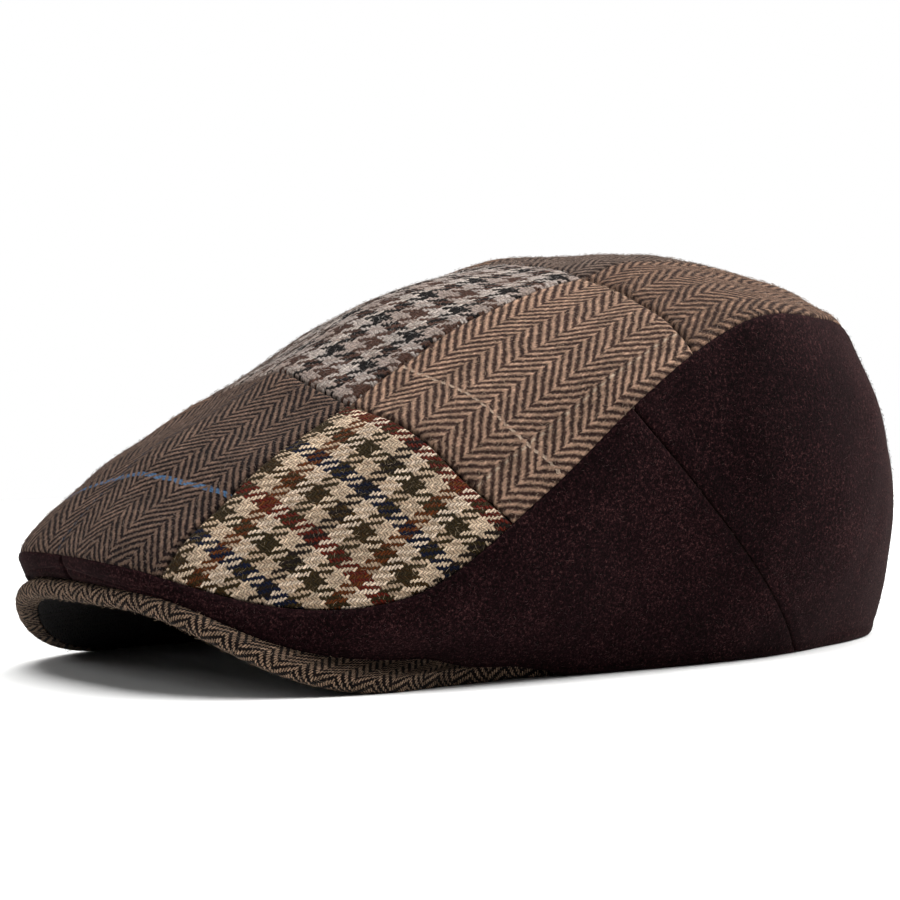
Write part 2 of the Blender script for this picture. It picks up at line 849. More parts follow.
@dataclass(frozen=True)
class WovenCloth:
    """A two-and-two twill in carded wool, worked out thread by thread.

    warp and weft are the colours of the threads that run lengthwise and crosswise, each colour for
    a block of threads. Where reverse is set, the twill turns round after that many threads, which
    gives herringbone. Milled cloth has its floats felted into one stroke: flow says how far. The
    yarn is hairy, so its edges are ragged and its dye is mottled, and the cloth has no gloss.
    hand is 1 or -1 for a twill that climbs to one side or the other. ragged says how far hairs
    break the edges of the floats, and soft how gently one float gives way to the next.
    hair holds the two colours of the loose fibres that stand out of the cloth. The values named
    per_mm are how often the threads' wander, the wool's grain and its patchy dye come round. fray
    is how far ragged hairs reach, crown how round a float is, and felting how far flow flattens it.
    """

    name: str
    thread_mm: float
    warp: tuple[str, ...]
    weft: tuple[str, ...]
    block: int = 1
    reverse: int = 0
    hand: int = 1
    overchecks: tuple[Overcheck, ...] = ()
    flow: float = 0.0
    ragged: float = 0.35
    soft: float = 0.3
    heather: float = 0.3
    depth: float = 0.6
    wander_mm: float = 0.3
    bump_mm: float = 0.45
    hair_scale: float = 1.7
    hair: tuple[str, str] = ("#b8a694", "#5a4a40")
    shift_mm: tuple[float, float] = (0.0, 0.0)
    slow_per_mm: float = 0.16
    fine_per_mm: float = 0.9
    grain_per_mm: tuple[float, float] = (5.0, 1.2)
    patchy_per_mm: float = 0.12
    fray: float = 2.2
    crown: float = 0.85
    felting: float = 0.75
    brightest: float = 1.08
    darkest: float = 0.03

    def colour_of(self, tree: bpy.types.NodeTree, thread: object, colours: tuple[str, ...]):
        """Gives the colour of a thread from its number.

        Args:
            tree: the material's nodes.
            thread: the thread's whole number.
            colours: one for each block of threads, over and over.

        Returns:
            The colour, each thread a little lighter or darker than the next.
        """
        block = add(tree, MATH, thread, float(self.block), operation="DIVIDE")
        block = add(tree, MATH, block, operation="FLOOR")
        turn = add(tree, MATH, block, float(len(colours)), operation="FLOORED_MODULO")
        place = add(tree, MATH, turn, 0.5, operation="ADD")
        place = add(tree, MATH, place, float(len(colours)), operation="DIVIDE")
        ramp = add(tree, "ShaderNodeValToRGB", place)
        marks = ramp.node.color_ramp
        marks.interpolation = "CONSTANT"
        while len(marks.elements) < len(colours):
            marks.elements.new(0.5)
        while len(marks.elements) > len(colours):
            marks.elements.remove(marks.elements[-1])
        for k, colour in enumerate(colours):
            marks.elements[k].position = k / len(colours)
        for k, colour in enumerate(colours):
            marks.elements[k].color = linear(colour)
        dye = add(tree, "ShaderNodeTexWhiteNoise", None, thread, noise_dimensions="1D")
        size = 0.5 * self.heather
        dye = add(tree, MAP_RANGE, dye, 0.0, 1.0, 1 - size, 1 + size)
        return add(tree, VECTOR, ramp, None, None, dye, operation="SCALE")

    def with_overchecks(
        self, tree: bpy.types.NodeTree, base: object, place: object, along: object, lengthwise: bool
    ):
        """Recolours the threads that cross the cloth as overchecks.

        Args:
            tree: the material's nodes.
            base: the threads' colour without them.
            place: the distance across these threads, in millimetres.
            along: the distance along them.
            lengthwise: whether these threads are the warp.

        Returns:
            The threads' colour.
        """
        for check in self.overchecks:
            if check.lengthwise != lengthwise:
                continue
            gap = add(tree, MATH, along, -check.slant, place, operation="MULTIPLY_ADD")
            gap = add(tree, MATH, gap, check.place_mm, operation="SUBTRACT")
            gap = add(tree, MATH, gap, operation="ABSOLUTE")
            reach = check.threads * self.thread_mm / 2
            inside = add(tree, MATH, gap, reach, operation="LESS_THAN")
            base = add(tree, MIX, inside, None, None, None, None, None, base,
                       linear(check.colour), out=2, data_type="RGBA")
        return base

    def material(self) -> bpy.types.Material:
        """Builds the cloth's material.

        Returns:
            A material that reads the piece's own cloth coordinates.
        """
        made, tree = new_material(self.name)
        cloth = add(tree, "ShaderNodeUVMap", uv_map="cloth")
        cloth = add(tree, VECTOR, cloth, (*self.shift_mm, 0.0), operation="ADD")
        # Handspun threads wander a little from their straight lines
        slow = add(tree, NOISE, cloth, None, self.slow_per_mm, 1.0, 0.5, out=1)
        fine = add(tree, NOISE, cloth, None, self.fine_per_mm, 1.0, 0.5, out=1)
        both = add(tree, VECTOR, slow, fine, operation="ADD")
        both = add(tree, VECTOR, both, (-1.0, -1.0, -1.0), operation="ADD")
        wander = (2 * self.wander_mm, 2 * self.wander_mm, 0.0)
        both = add(tree, VECTOR, both, wander, operation="MULTIPLY")
        moved = add(tree, VECTOR, cloth, both, operation="ADD")
        split = add(tree, "ShaderNodeSeparateXYZ", moved).node
        u_mm, v_mm = split.outputs[0], split.outputs[1]
        u = add(tree, MATH, u_mm, self.thread_mm, operation="DIVIDE")
        v = add(tree, MATH, v_mm, self.thread_mm, operation="DIVIDE")
        i = add(tree, MATH, u, operation="FLOOR")
        j = add(tree, MATH, v, operation="FLOOR")
        in_u = add(tree, MATH, u, operation="FRACT")
        in_v = add(tree, MATH, v, operation="FRACT")
        # The twill's diagonal, which turns round in each column of a herringbone
        slide = add(tree, MATH, in_u, self.flow, -0.5 * self.flow, operation="MULTIPLY_ADD")
        run = add(tree, MATH, i, slide, operation="ADD")
        run = add(tree, MATH, run, float(self.hand), operation="MULTIPLY")
        if self.reverse:
            column = add(tree, MATH, i, float(self.reverse), operation="DIVIDE")
            column = add(tree, MATH, column, operation="FLOOR")
            odd = add(tree, MATH, column, 2.0, operation="FLOORED_MODULO")
            sign = add(tree, MATH, odd, -2.0, 1.0, operation="MULTIPLY_ADD")
            run = add(tree, MATH, run, sign, operation="MULTIPLY")
            # A broken herringbone: each column starts two threads later, so its strokes are cut off
            run = add(tree, MATH, odd, 2.0, run, operation="MULTIPLY_ADD")
        level = add(tree, MATH, in_v, 0.5, operation="SUBTRACT")
        level = add(tree, MATH, level, self.flow, j, operation="MULTIPLY_ADD")
        # Hairs break the edges of the strokes
        hairs = add(tree, NOISE, moved, None, self.hair_scale, 4.0, 0.75)
        hairs = add(tree, MATH, hairs, -0.5, operation="ADD")
        phase = add(tree, MATH, run, level, operation="ADD")
        phase = add(tree, MATH, hairs, self.fray * self.ragged, phase, operation="MULTIPLY_ADD")
        # 0 in the middle of a warp float, 2 in the middle of a weft float
        from_warp = add(tree, MATH, phase, -0.5, operation="ADD")
        from_warp = add(tree, MATH, from_warp, 2.0, operation="PINGPONG")
        warp_up = add(tree, MAP_RANGE, from_warp, 1.0 + self.soft, 1.0 - self.soft, 0.0, 1.0,
                      interpolation_type="SMOOTHSTEP")
        is_warp = add(tree, MATH, from_warp, 1.0, operation="LESS_THAN")
        # Each float is a rounded strand, proud in its middle
        off_middle = add(tree, MATH, from_warp, 1.0, operation="PINGPONG")
        weft_middle = add(tree, MATH, 1.0, off_middle, operation="SUBTRACT")
        off_middle = add(tree, MIX, is_warp, None, weft_middle, off_middle)
        crest = add(tree, MATH, off_middle, off_middle, operation="MULTIPLY")
        crest = add(tree, MATH, crest, -self.crown, 1.0, operation="MULTIPLY_ADD")
        across = add(tree, MIX, warp_up, None, in_v, in_u)
        across = add(tree, MATH, across, math.pi, operation="MULTIPLY")
        across = add(tree, MATH, across, operation="SINE")
        strand = 1.0 - self.felting * self.flow
        across = add(tree, MATH, across, strand, 1.0 - strand, operation="MULTIPLY_ADD")
        height = add(tree, MATH, crest, across, operation="MULTIPLY")
        # Wool fibres, drawn out along the thread that shows
        often, seldom = self.grain_per_mm
        warp_grain = add(tree, VECTOR, moved, (often, seldom, 1.0), operation="MULTIPLY")
        weft_grain = add(tree, VECTOR, moved, (seldom, often, 1.0), operation="MULTIPLY")
        grain_place = add(tree, MIX, warp_up, None, None, None, weft_grain, warp_grain,
                          out=1, data_type="VECTOR")
        grain = add(tree, NOISE, grain_place, None, 1.0, 3.0, 0.65)
        wide = add(tree, NOISE, cloth, None, self.patchy_per_mm, 3.0, 0.6)
        warp = self.with_overchecks(tree, self.colour_of(tree, i, self.warp), u_mm, v_mm, True)
        weft = self.with_overchecks(tree, self.colour_of(tree, j, self.weft), v_mm, u_mm, False)
        colour = add(tree, MIX, warp_up, None, None, None, None, None, weft, warp,
                     out=2, data_type="RGBA")
        lowest = self.brightest - self.depth
        light = add(tree, MATH, height, self.depth, lowest, operation="MULTIPLY_ADD")
        for noise, size in ((grain, self.heather), (wide, 0.4 * self.heather)):
            spread = add(tree, MAP_RANGE, noise, 0.3, 0.7, 1 - size, 1 + size)
            light = add(tree, MATH, light, spread, operation="MULTIPLY")
        light = add(tree, MATH, light, self.darkest, operation="MAXIMUM")
        colour = add(tree, VECTOR, colour, None, None, light, operation="SCALE")
        tall = add(tree, MATH, grain, 0.5, height, operation="MULTIPLY_ADD")
        YARN_SURFACE.finish(tree, colour, add(tree, "ShaderNodeBump", 1.0, self.bump_mm * MM, None, tall))
        return made


@dataclass(frozen=True)
class MeltonWool:
    """Felted dark wool: no weave shows, only a short matt nap with paler fibres in it."""

    name: str = "dark melton wool"
    deep: str = "#060202"
    body: str = "#100507"
    pale: str = "#1f0e10"
    fleck: str = "#442b2a"
    fibre_mm: float = 0.9
    nap_mm: float = 0.42
    cloud_mm: float = 22.0
    cloud: float = 0.03
    bump_mm: float = 0.3
    marks: tuple[float, float, float, float] = (0.4, 0.49, 0.56, 0.66)

    def material(self) -> bpy.types.Material:
        """Builds the wool's material.

        Returns:
            A material on the object's own coordinates.
        """
        made, tree = new_material(self.name)
        place = add(tree, "ShaderNodeTexCoord", out=3)
        fine = add(tree, NOISE, place, None, 1 / (self.fibre_mm * MM), 4.0, 0.65)
        nap = add(tree, NOISE, place, None, 1 / (self.nap_mm * MM), 3.0, 0.65)
        wide = add(tree, NOISE, place, None, 1 / (self.cloud_mm * MM), 3.0, 0.55)
        mixed = add(tree, MATH, fine, 0.55, operation="MULTIPLY")
        mixed = add(tree, MATH, nap, 0.45, mixed, operation="MULTIPLY_ADD")
        shift = add(tree, MAP_RANGE, wide, 0.3, 0.7, -self.cloud, self.cloud)
        mixed = add(tree, MATH, mixed, shift, operation="ADD")
        ramp = add(tree, "ShaderNodeValToRGB", mixed)
        stops = ramp.node.color_ramp.elements
        stops.new(0.5)
        stops.new(0.9)
        tones = (self.deep, self.body, self.pale, self.fleck)
        for stop, position, tone in zip(stops, self.marks, tones):
            stop.position = position
            stop.color = linear(tone)
        FELT_SURFACE.finish(tree, ramp, add(tree, "ShaderNodeBump", 0.7, self.bump_mm * MM, None, mixed))
        return made


@dataclass(frozen=True)
class WoolNap:
    """Loose hairs on a woollen cloth: short bent fibres, most of them lying nearly flat.

    Each fibre leaves the cloth, rises and bends to one side. tilt is how far it may lean, in
    radians, and smallest and largest are the range of its length, bend and rise. No fibre grows
    where the cloth is lower than clear_mm, so none reaches into the table.
    """

    per_mm2: float
    length_mm: float = 1.3
    radius_mm: float = 0.026
    rise_mm: float = 0.36
    curl_mm: float = 0.22
    dip_mm: float = 0.15
    bends: int = 2
    sides: int = 3
    tilt: float = 0.35
    smallest: tuple[float, float, float] = (0.5, 0.3, 0.2)
    largest: tuple[float, float, float] = (1.4, 1.7, 1.9)
    clear_mm: float = 1.2

    def hair_material(self, name: str, colours: tuple[str, str]) -> bpy.types.Material:
        """Builds the fibres' material: each fibre has a tone of its own between two colours.

        Args:
            name: the cloth's name.
            colours: the lightest and the darkest fibre.

        Returns:
            The material.
        """
        made, tree = new_material(f"loose fibres of {name}")
        tone = add(tree, "ShaderNodeNewGeometry", out=8)
        colour = add(tree, MIX, tone, None, None, None, None, None, linear(colours[0]),
                     linear(colours[1]), out=2, data_type="RGBA")
        FIBRE_SURFACE.finish(tree, colour)
        return made

    def tree(self, label: str) -> bpy.types.NodeTree:
        """Builds the geometry nodes: bent three-sided fibres scattered over a surface.

        Args:
            label: the tree's name.

        Returns:
            The tree, with its density, seed and material as named inputs.
        """
        tree = bpy.data.node_groups.new(label, "GeometryNodeTree")
        sockets = (
            ("Surface", "INPUT", "NodeSocketGeometry"),
            ("Fibres per Square Metre", "INPUT", "NodeSocketFloat"),
            ("Seed", "INPUT", "NodeSocketInt"),
            ("Material", "INPUT", "NodeSocketMaterial"),
            ("Fibres", "OUTPUT", "NodeSocketGeometry"),
        )
        for name, way, kind in sockets:
            tree.interface.new_socket(name, in_out=way, socket_type=kind)
        given = add(tree, "NodeGroupInput").node.outputs
        scatter = add(tree, "GeometryNodeDistributePointsOnFaces", given["Surface"],
                      distribute_method="RANDOM").node
        tree.links.new(given["Fibres per Square Metre"], scatter.inputs["Density"])
        tree.links.new(given["Seed"], scatter.inputs["Seed"])
        half, rise, curl = self.length_mm / 2 * MM, self.rise_mm * MM, self.curl_mm * MM
        line = add(tree, "GeometryNodeCurveQuadraticBezier", self.bends, (-half, 0.0, -self.dip_mm * MM),
                   (0.0, curl, rise), (half, 0.0, rise))
        profile = add(tree, "GeometryNodeCurvePrimitiveCircle", self.sides).node
        profile.inputs["Radius"].default_value = self.radius_mm * MM
        fibre = add(tree, "GeometryNodeCurveToMesh", line, profile.outputs[0]).node
        fibre.inputs["Fill Caps"].default_value = True
        most = (self.tilt, self.tilt, 2 * math.pi)
        spin = add(tree, "FunctionNodeRandomValue", (0.0, 0.0, 0.0), most, data_type="FLOAT_VECTOR")
        size = add(tree, "FunctionNodeRandomValue", self.smallest, self.largest,
                   data_type="FLOAT_VECTOR").node
        size.inputs["Seed"].default_value = 1
        turned = add(tree, "FunctionNodeRotateRotation", scatter.outputs["Rotation"], spin,
                     rotation_space="LOCAL")
        placed = add(tree, "GeometryNodeInstanceOnPoints", scatter.outputs["Points"], None,
                     fibre.outputs[0]).node
        tree.links.new(turned, placed.inputs["Rotation"])
        tree.links.new(size.outputs[0], placed.inputs["Scale"])
        whole = add(tree, "GeometryNodeRealizeInstances", placed.outputs[0])
        dressed = add(tree, "GeometryNodeSetMaterial", whole, None, given["Material"])
        add(tree, "NodeGroupOutput", dressed)
        return tree

    def grow(self, piece: bpy.types.Object, outer: Array, inner: Array, seed: int) -> None:
        """Adds fibres over a piece's outer side, in its second material.

        Args:
            piece: the cloth piece.
            outer: its grid of outer points, in millimetres.
            inner: its grid of inner points.
            seed: of the scattering.
        """
        quads = grid_quads(*outer.shape[:2])
        down, right = outer[1:, :-1] - outer[:-1, :-1], outer[:-1, 1:] - outer[:-1, :-1]
        if (np.cross(right, down) * (outer - inner)[:-1, :-1]).sum() < 0:
            quads = quads[..., ::-1]
        up = outer[..., 2]
        lowest = np.minimum.reduce([up[:-1, :-1], up[:-1, 1:], up[1:, 1:], up[1:, :-1]])
        quads = quads[lowest > self.clear_mm]
        mesh = bpy.data.meshes.new("nap_surface")
        mesh.from_pydata((outer.reshape(-1, 3) * MM).tolist(), [], quads.reshape(-1, 4).tolist())
        ground = bpy.data.objects.new("nap_surface", mesh)
        bpy.context.scene.collection.objects.link(ground)
        label = f"wool_nap_{self.length_mm}"
        tree = bpy.data.node_groups.get(label) or self.tree(label)
        modifier = ground.modifiers.new("nap", "NODES")
        modifier.node_group = tree
        names = {item.name: item.identifier for item in tree.interface.items_tree}
        modifier[names["Fibres per Square Metre"]] = self.per_mm2 / MM**2
        modifier[names["Seed"]] = seed
        ready = bpy.context.evaluated_depsgraph_get()
        fibres = bpy.data.meshes.new_from_object(ground.evaluated_get(ready))
        ground.modifiers.remove(modifier)
        bpy.data.objects.remove(ground)
        fibres.polygons.foreach_set("material_index", [1] * len(fibres.polygons))
        joined = bmesh.new()
        joined.from_mesh(piece.data)
        joined.from_mesh(fibres)
        joined.to_mesh(piece.data)
        joined.free()
        bpy.data.meshes.remove(fibres)


# Gun-club check: cream and white yarn, with blocks of rust, olive and navy in turn.
CREAM_CHECK = WovenCloth(
    name="cream houndstooth tweed",
    thread_mm=0.85,
    warp=("#ead2ba", "#382b15", "#e2c8ac", "#63310f", "#ead2ba", "#33270f", "#e2c8ac", "#201610"),
    weft=("#c3a88c", "#30250e", "#cbb196", "#5c1b0d", "#c3a88c", "#3b290f", "#cbb196", "#0c132a"),
    block=6,
    hand=-1,
    ragged=0.75,
    soft=0.34,
    heather=0.46,
    depth=0.88,
    wander_mm=0.5,
    hair=("#a8957c", "#3a2c1a"),
    shift_mm=(5.1, 20.4),
)

# Grey and white check with black and brown blocks in turn, raised so that the blocks run together.
GREY_CHECK = WovenCloth(
    name="grey houndstooth tweed",
    thread_mm=1.09,
    warp=("#b8aba1", "#0e0a09", "#a09087", "#4d342a"),
    weft=("#9c8b81", "#4d352b", "#b0a49c", "#120d0c"),
    block=4,
    hand=-1,
    ragged=1.1,
    soft=0.42,
    heather=0.42,
    depth=0.7,
    wander_mm=0.8,
    hair=("#c2bab4", "#4a403c"),
    shift_mm=(-4.2, 0.0),
)

# Bold herringbone: tan yarn over dark brown, with a few cream threads crossing it.
LIGHT_HERRINGBONE = WovenCloth(
    name="light herringbone tweed",
    thread_mm=0.86,
    warp=("#987a66",),
    weft=("#3b2822",),
    reverse=11,
    flow=0.7,
    ragged=0.85,
    soft=0.5,
    heather=0.55,
    wander_mm=0.6,
    overchecks=(Overcheck("#b39c88", 20.5, 1, False), Overcheck("#a5917d", 58.0, 1, True)),
    hair=("#b39a84", "#4a362c"),
)

# The same cloth where no cream thread crosses it.
PLAIN_HERRINGBONE = WovenCloth(
    name="plain light herringbone tweed",
    thread_mm=0.9,
    warp=("#7c6150",),
    weft=("#35241e",),
    reverse=10,
    flow=0.75,
    ragged=0.85,
    soft=0.55,
    heather=0.55,
    wander_mm=0.6,
    hair=("#a08a7a", "#43342d"),
)

# Fine herringbone: taupe yarn over near black, with blue threads crossing it.
DARK_HERRINGBONE = WovenCloth(
    name="dark herringbone tweed",
    thread_mm=0.74,
    warp=("#6c5649",),
    weft=("#1b1110",),
    reverse=12,
    flow=0.6,
    ragged=0.75,
    soft=0.36,
    heather=0.6,
    wander_mm=0.5,
    overchecks=(
        Overcheck("#48698c", -58.5, 2.4, False, 0.25),
        Overcheck("#24303f", -3.0, 1, True),
    ),
    hair=("#8f7c70", "#3a2c28"),
)

# The fine herringbone without the blue threads.
PLAIN_DARK_HERRINGBONE = WovenCloth(
    name="plain dark herringbone tweed",
    thread_mm=0.76,
    warp=("#6f5d52",),
    weft=("#2c201c",),
    reverse=11,
    flow=0.7,
    ragged=0.8,
    soft=0.5,
    heather=0.55,
    wander_mm=0.5,
    hair=("#95857a", "#3e302b"),
)

# Peak tweed: light brown twill over near black, with the separate threads showing.
PEAK_TWEED = WovenCloth(
    name="brown peak tweed",
    thread_mm=0.7,
    warp=("#a3866f",),
    weft=("#1a110d",),
    reverse=8,
    flow=0.0,
    ragged=0.4,
    soft=0.18,
    heather=0.6,
    depth=1.3,
    wander_mm=0.3,
    hair_scale=2.4,
    hair=("#a8927e", "#3a2d26"),
)

# The same tweed under the peak, where the dark side of the cloth is turned down.
FACING_TWEED = WovenCloth(
    name="dark peak facing tweed",
    thread_mm=0.8,
    warp=("#130d0b",),
    weft=("#060404",),
    reverse=8,
    ragged=0.5,
    heather=0.5,
    depth=0.8,
    hair=("#4a3d35", "#1a1412"),
)

PATCH_CLOTH = {
    (Row.FRONT, Side.LEFT): (CREAM_CHECK, "cream_houndstooth"),
    (Row.FRONT, Side.MIDDLE): (DARK_HERRINGBONE, "dark_herringbone"),
    (Row.FRONT, Side.RIGHT): (PLAIN_HERRINGBONE, "light_herringbone"),
    (Row.MID, Side.LEFT): (LIGHT_HERRINGBONE, "light_herringbone"),
    (Row.MID, Side.MIDDLE): (GREY_CHECK, "grey_houndstooth"),
    (Row.MID, Side.RIGHT): (PLAIN_DARK_HERRINGBONE, "dark_herringbone"),
    (Row.REAR, Side.LEFT): (PLAIN_HERRINGBONE, "light_herringbone"),
    (Row.REAR, Side.MIDDLE): (PLAIN_DARK_HERRINGBONE, "dark_herringbone"),
    (Row.REAR, Side.RIGHT): (PLAIN_HERRINGBONE, "light_herringbone"),
}


@dataclass
class PatchworkTop:
    """The nine patches of the top."""

    form: CrownForm
    waves: Undulation
    steps: int = 64
    wall: float = 1.7
    seam_radius: float = 1.5
    seam_gap: float = 0.12
    lining_gap: float = 0.3
    edge_points: int = 721
    line_points: int = 25
    first_guess: tuple[float, float] = (60.0, -50.0)
    nap: WoolNap = WoolNap(0.35, radius_mm=0.032)

    def edge_tables(self) -> tuple[Array, Array]:
        """Gives the edge of the top as X and Y, from the back round the left to the front.

        Returns:
            X and Y.
        """
        turn = np.linspace(0, 180, self.edge_points)
        place = self.form.place(turn, self.form.edge_at(turn), turn * 0)
        return place[:, 0], place[:, 1]

    def plan_grid(self, row: Row, side: Side) -> tuple[Array, Array]:
        """Lays a grid over one patch, seen from above.

        Args:
            row: the patch's row.
            side: its column. The right column is laid out as the left one and mirrored later.

        Returns:
            X and Y, with rows from front to back and columns from the middle outwards.
        """
        edge_x, edge_y = self.edge_tables()
        a = graded(self.steps)[None, :]
        b = graded(self.steps)[:, None]
        guess_x, guess_y = self.first_guess
        ahead = Row.FRONT if row is Row.MID else Row.MID
        if side is Side.MIDDLE:
            widest = int(np.argmax(edge_x))
            x = (2 * a - 1) * (self.form.column_edge(guess_y) - self.seam_gap) + 0 * b
            for _ in range(12):
                low = np.interp(np.abs(x), edge_x[:widest:-1], edge_y[:widest:-1])
                high = np.interp(np.abs(x), edge_x[:widest], edge_y[:widest])
                if row is not Row.FRONT:
                    low = self.form.row_edge(ahead, x) + self.seam_gap
                if row is not Row.REAR:
                    high = self.form.row_edge(row, x) - self.seam_gap
                y = low + (high - low) * b
                x = (2 * a - 1) * (self.form.column_edge(y) - self.seam_gap)
            return x, y
        tip_front = self.tip(edge_x, edge_y, -1)
        tip_rear = self.tip(edge_x, edge_y, 1)
        x = guess_x + 0 * (a + b)
        for _ in range(30):
            low = self.form.row_edge(ahead, x) + self.seam_gap
            high = self.form.row_edge(row if row is not Row.REAR else Row.MID, x) - self.seam_gap
            if row is Row.FRONT:
                low = tip_front + 0 * x
                y = high + (low - high) * np.sin((1 - b) * math.pi / 2)
            elif row is Row.REAR:
                high = tip_rear + 0 * x
                y = low + (high - low) * np.sin(b * math.pi / 2)
            else:
                y = low + (high - low) * b
            y = np.clip(y, tip_front, tip_rear)
            inner = self.form.column_edge(y) + self.seam_gap
            outer = np.interp(y, edge_y[::-1], edge_x[::-1])
            x = inner + np.maximum(outer - inner, 0) * a
        return x, y

    def tip(self, edge_x: Array, edge_y: Array, sign: int) -> float:
        """Finds where the lengthwise seam meets the edge of the top.

        Args:
            edge_x: the edge's X.
            edge_y: its Y.
            sign: -1 for the front, 1 for behind.

        Returns:
            Y.
        """
        gap = edge_x - self.form.column_edge(edge_y) - self.seam_gap
        half = np.argmax(edge_x)
        part = slice(half, None) if sign < 0 else slice(0, half)
        order = np.argsort(gap[part])
        return float(np.interp(0.0, gap[part][order], edge_y[part][order]))

    def flat_places(self, x: Array, y: Array, row: Row, side: Side) -> Array:
        """Gives a first flat drawing of a patch.

        Args:
            x: the X of its grid of points.
            y: their Y.
            row: the patch's row.
            side: its column.

        Returns:
            The lengths over the surface from its seams.
        """
        start_x = 0 * x if side is Side.MIDDLE else self.form.column_edge(y)
        seam = Row.FRONT if row is not Row.REAR else Row.MID
        start_y = self.form.row_edge(seam, x)
        shares = np.linspace(0, 1, self.line_points)
        lengths = []
        for from_x, from_y in ((start_x, y), (x, start_y)):
            line_x = from_x[..., None] + (x - from_x)[..., None] * shares
            line_y = from_y[..., None] + (y - from_y)[..., None] * shares
            up = self.form.top_height(line_x, line_y)
            steps = np.stack([np.diff(line_x), np.diff(line_y), np.diff(up)])
            size = np.sqrt((steps**2).sum(0)).sum(-1)
            sign = np.sign(x - from_x) + np.sign(y - from_y)
            lengths.append(size * np.sign(sign))
        return np.stack(lengths, -1)

    def build_patch(self, row: Row, side: Side) -> bpy.types.Object:
        """Builds one patch as a closed wall with turned-under edges.

        Args:
            row: its row.
            side: its column.

        Returns:
            The patch.
        """
        x, y = self.plan_grid(row, side)
        points = np.stack([x, y, self.form.top_height(x, y)], -1)
        flat = settle_cloth(points, self.flat_places(x, y, row, side))
        if side is Side.RIGHT:
            points = points * [-1, 1, 1]
            points, flat = points[:, ::-1], flat[:, ::-1]
        out = grid_normals(points)
        out *= np.sign(out[..., 2:3].mean())
        distance = border_distance(points)
        waves = self.waves.at(points)
        lift = rolled_seam(distance, self.seam_radius) + waves
        outer = points + out * lift[..., None]
        inner = points - out * (self.wall + self.lining_gap - waves)[..., None]
        name = f"patch_{row.value}_{side.name.lower()}"
        patch = shell_object(name, outer, inner, flat)
        self.nap.grow(patch, outer, inner, 10 * list(Row).index(row) + side.value)
        return patch

    def build(self) -> list[bpy.types.Object]:
        """Builds and dresses every patch.

        Returns:
            The patches.
        """
        made = []
        cloths: dict[str, tuple[bpy.types.Material, bpy.types.Material]] = {}
        for (row, side), (cloth, slot) in PATCH_CLOTH.items():
            patch = self.build_patch(row, side)
            if cloth.name not in cloths:
                cloths[cloth.name] = (cloth.material(), self.nap.hair_material(cloth.name, cloth.hair))
            dress(patch, slot, f"top_patch_{row.value}_{side.name.lower()}", *cloths[cloth.name])
            made.append(patch)
        return made


@dataclass
class WoolSides:
    """The four dark sides, with the turned hem along their lower edge."""

    form: CrownForm
    waves: Undulation
    rows: int = 56
    columns: int = 110
    wall: float = 1.9
    seam_radius: float = 1.3
    hem_mm: float = 5.0
    hem_groove: float = 0.5
    hem_groove_width: float = 0.7
    hem_swell: float = 0.25
    hem_lift: float = 0.05
    centre_gap: float = 0.12
    hair: tuple[str, str] = ("#4a3836", "#120a0a")
    nap_seed: int = 40
    nap: WoolNap = WoolNap(0.22, length_mm=0.8, radius_mm=0.036, bends=1)

    def turns(self, is_front: bool, share: Array) -> tuple[Array, Array]:
        """Gives the directions where a side piece starts and ends.

        Args:
            is_front: whether it is the piece ahead of the slanted seam.
            share: the shares of its height to give them at.

        Returns:
            Both directions, in degrees from the back.
        """
        seam = self.form.side_seam_turn(share)
        probe = self.form.side_point(seam, share)
        out = np.hypot(probe[..., 0], probe[..., 1] - self.form.centre_y)
        slack = np.degrees(self.centre_gap / out)
        tiny = np.degrees(self.centre_gap / self.form.back_reach)
        if is_front:
            return seam + slack, np.full_like(share, 180 - tiny / 2)
        return np.full_like(share, tiny), seam - slack

    def build_side(self, is_front: bool, side: Side) -> bpy.types.Object:
        """Builds one side piece as a closed wall.

        Args:
            is_front: whether it is the piece ahead of the slanted seam.
            side: which side of the wearer it is on.

        Returns:
            The piece.
        """
        share = graded(self.rows)[:, None]
        start, end = self.turns(is_front, share[:, 0])
        turn = start[:, None] + (end - start)[:, None] * graded(self.columns)[None, :]
        share = share + 0 * turn
        points = self.form.side_point(turn, share)
        points[..., 0] *= side.value
        if side is Side.RIGHT:
            points = points[:, ::-1]
        out = grid_normals(points)
        middle = points - np.array([0, self.form.centre_y, 0])
        out *= np.sign((out * middle).sum(-1).mean())
        up = arc_lengths(points, 0)
        waves = self.waves.at(points)
        lift = rolled_seam(border_distance(points), self.seam_radius) + waves
        groove = np.exp(-(((up - self.hem_mm) / self.hem_groove_width) ** 2))
        swell = smooth_step(self.hem_mm, 0, up)
        lift = lift - (self.hem_groove * groove - self.hem_swell * swell)
        outer = points + out * lift[..., None]
        inner = points - out * (self.wall - waves)[..., None]
        foot = self.form.foot_at(inner[0, :, 0], inner[0, :, 1])
        inner[0, :, 2] = np.maximum(foot, 0) + self.hem_lift
        keep_above(inner, CLEAR_OF_TABLE)
        keep_above(outer, CLEAR_OF_TABLE)
        flat = np.stack([arc_lengths(points, 1), up], -1)
        label = "front" if is_front else "rear"
        piece = shell_object(f"wool_{label}_{side.name.lower()}", outer, inner, flat)
        self.nap.grow(piece, outer, inner, self.nap_seed + 2 * side.value + is_front)
        return piece

    def build(self) -> list[bpy.types.Object]:
        """Builds and dresses the four sides.

        Returns:
            The side pieces.
        """
        wool = MeltonWool().material()
        hair = self.nap.hair_material("melton wool", self.hair)
        made = []
        for side in (Side.LEFT, Side.RIGHT):
            for is_front in (True, False):
                piece = self.build_side(is_front, side)
                label = "front" if is_front else "rear"
                dress(piece, "dark_wool", f"side_{label}_{side.name.lower()}", wool, hair)
                made.append(piece)
        return made


